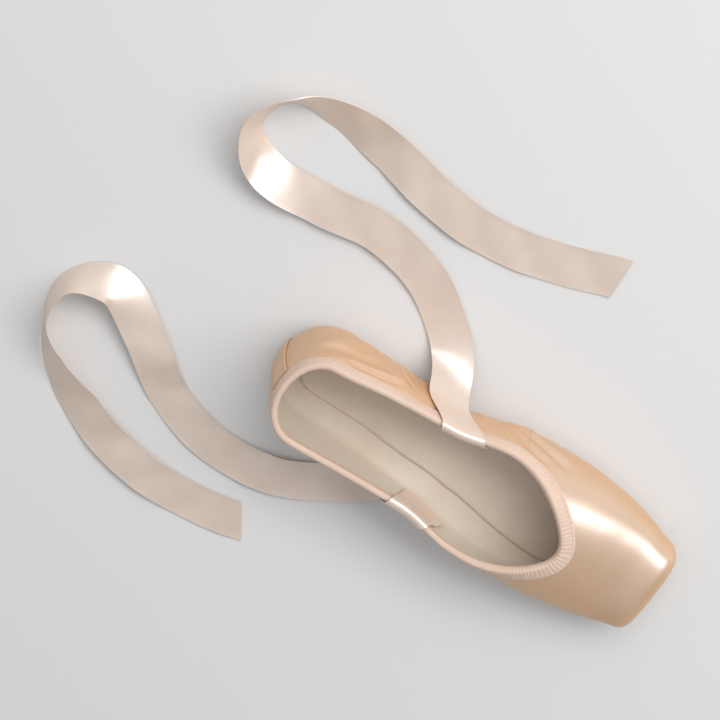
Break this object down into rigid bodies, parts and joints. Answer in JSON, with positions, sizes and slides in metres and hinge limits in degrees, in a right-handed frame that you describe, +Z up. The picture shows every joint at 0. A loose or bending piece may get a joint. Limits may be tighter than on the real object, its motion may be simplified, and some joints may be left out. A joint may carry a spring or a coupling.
{
  "type": "pointe shoe",
  "caption": "Satin pointe shoe with a stiffened box, flat platform, bound collar, leather outsole and loose ribbon ties",
  "frame": {"origin": "on the floor, under the middle of the shoe without its ribbons", "axes": "+X points to the toe, +Y to the wearer's left, +Z up"},
  "size_m": [0.3489, 0.2565, 0.0582],
  "materials": {
    "satin": "pale peach satin, smooth and shining",
    "binding_tape": "matt gathered cotton tape, pinker than the satin",
    "sole_leather": "suede-like sole leather, matt",
    "lining": "plain cotton lining",
    "ribbon_satin": "pale satin ribbon, shining"
  },
  "bodies": {
    "root": {"insole": "lining", "upper": "satin", "outsole": "sole_leather", "heel_strip": "satin", "binding": "binding_tape", "ribbon_left": "ribbon_satin", "ribbon_right": "ribbon_satin"}
  },
  "joints": []
}
